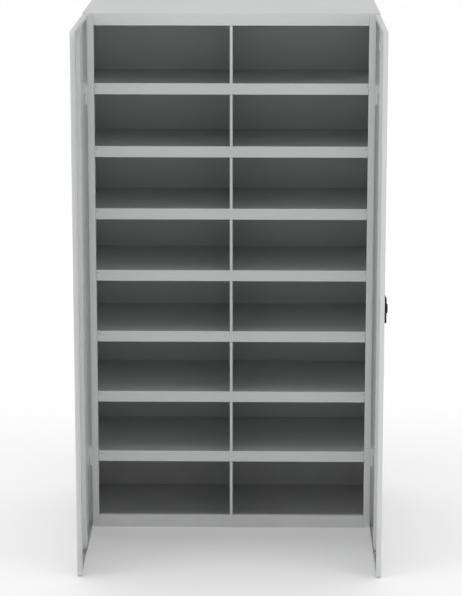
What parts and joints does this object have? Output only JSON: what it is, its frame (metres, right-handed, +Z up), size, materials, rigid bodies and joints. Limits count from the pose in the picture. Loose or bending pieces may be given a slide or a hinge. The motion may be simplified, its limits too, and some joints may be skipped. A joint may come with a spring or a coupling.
{
  "type": "two-door mail sorting cabinet",
  "caption": "Free-standing sheet-steel sorting cabinet with two hinged doors, stacked open compartments, centre dividers and a rack-and-pinion rod lock.",
  "frame": {"origin": "middle of the cabinet's base on the floor, doors and handle left out", "axes": "+Z up, -Y towards the person in front of the open doors, +X to that person's right"},
  "size_m": [1.0118, 0.9955, 1.808],
  "materials": {
    "grey_paint": "light grey satin powder coat with a fine orange-peel surface",
    "painted_hardware": "steel welded in place and powder coated with the shell",
    "zinc_steel": "bright zinc-plated steel",
    "black_plastic": "black moulded plastic with a fine grain",
    "bright_nickel": "bright nickel-plated steel",
    "brass": "plain turned brass"
  },
  "bodies": {
    "cabinet": {"left_side_panel": "grey_paint", "right_side_panel": "grey_paint", "top_panel": "grey_paint", "base_pan": "grey_paint", "back_panel": "grey_paint", "left_front_rail": "zinc_steel", "left_rear_rail": "zinc_steel", "right_front_rail": "zinc_steel", "right_rear_rail": "zinc_steel", "shelf_1": "grey_paint", "shelf_2": "grey_paint", "shelf_3": "grey_paint", "shelf_4": "grey_paint", "shelf_5": "grey_paint", "shelf_6": "grey_paint", "shelf_7": "grey_paint", "shelf_strip_1": "grey_paint", "shelf_strip_2": "grey_paint", "shelf_strip_3": "grey_paint", "shelf_strip_4": "grey_paint", "shelf_strip_5": "grey_paint", "shelf_strip_6": "grey_paint", "shelf_strip_7": "grey_paint", "divider_1": "grey_paint", "divider_2": "grey_paint", "divider_3": "grey_paint", "divider_4": "grey_paint", "divider_5": "grey_paint", "divider_6": "grey_paint", "divider_7": "grey_paint", "divider_8": "grey_paint", "shelf_clips": "zinc_steel", "strip_rivets": "painted_hardware", "hinge_washers": "brass", "left_lower_hinge_pin": "painted_hardware", "left_upper_hinge_pin": "painted_hardware", "right_lower_hinge_pin": "painted_hardware", "right_upper_hinge_pin": "painted_hardware"},
    "left_door": {"left_door_pan": "grey_paint", "left_door_stiffener": "grey_paint", "left_closing_batten": "grey_paint", "left_lower_knuckle": "painted_hardware", "left_upper_knuckle": "painted_hardware"},
    "right_door": {"right_door_pan": "grey_paint", "right_door_stiffener": "grey_paint", "right_lower_knuckle": "painted_hardware", "right_upper_knuckle": "painted_hardware", "handle_plate": "black_plastic", "lock_case": "zinc_steel", "lock_cover": "zinc_steel", "lock_screws": "bright_nickel", "rod_guides": "black_plastic"},
    "handle": {"turn_knob": "black_plastic", "lock_spindle": "zinc_steel", "lock_pinion": "zinc_steel", "spindle_screw": "bright_nickel"},
    "key_cylinder": {"lock_cylinder": "bright_nickel"},
    "upper_rod": {"upper_lock_rod": "zinc_steel"},
    "lower_rod": {"lower_lock_rod": "zinc_steel"}
  },
  "joints": [
    {"name": "left_door_hinge", "type": "hinge", "parent": "cabinet", "child": "left_door", "pos_m": [-0.4915, -0.251, 0.9], "axis": [0, 0, 1], "range_deg": [-12, 90]},
    {"name": "right_door_hinge", "type": "hinge", "parent": "cabinet", "child": "right_door", "pos_m": [0.4915, -0.251, 0.9], "axis": [0, 0, -1], "range_deg": [-12, 90]},
    {"name": "handle_turn", "type": "hinge", "parent": "right_door", "child": "handle", "pos_m": [0.505, -0.6925, 0.902], "axis": [1, 0, 0], "range_deg": [0, 90]},
    {"name": "key_turn", "type": "hinge", "parent": "handle", "child": "key_cylinder", "pos_m": [0.508, -0.6925, 0.902], "axis": [1, 0, 0], "range_deg": [0, 90]},
    {"name": "upper_rod_slide", "type": "slide", "parent": "right_door", "child": "upper_rod", "axis": [0, 0, 1], "range_m": [0, 0.01414]},
    {"name": "lower_rod_slide", "type": "slide", "parent": "right_door", "child": "lower_rod", "axis": [0, 0, -1], "range_m": [0, 0.0142]}
  ],
  "couplings": [
    {"joint": "handle_turn", "follows": "upper_rod_slide", "rad_per_m": 111.11},
    {"joint": "lower_rod_slide", "follows": "upper_rod_slide", "ratio": 1}
  ]
}
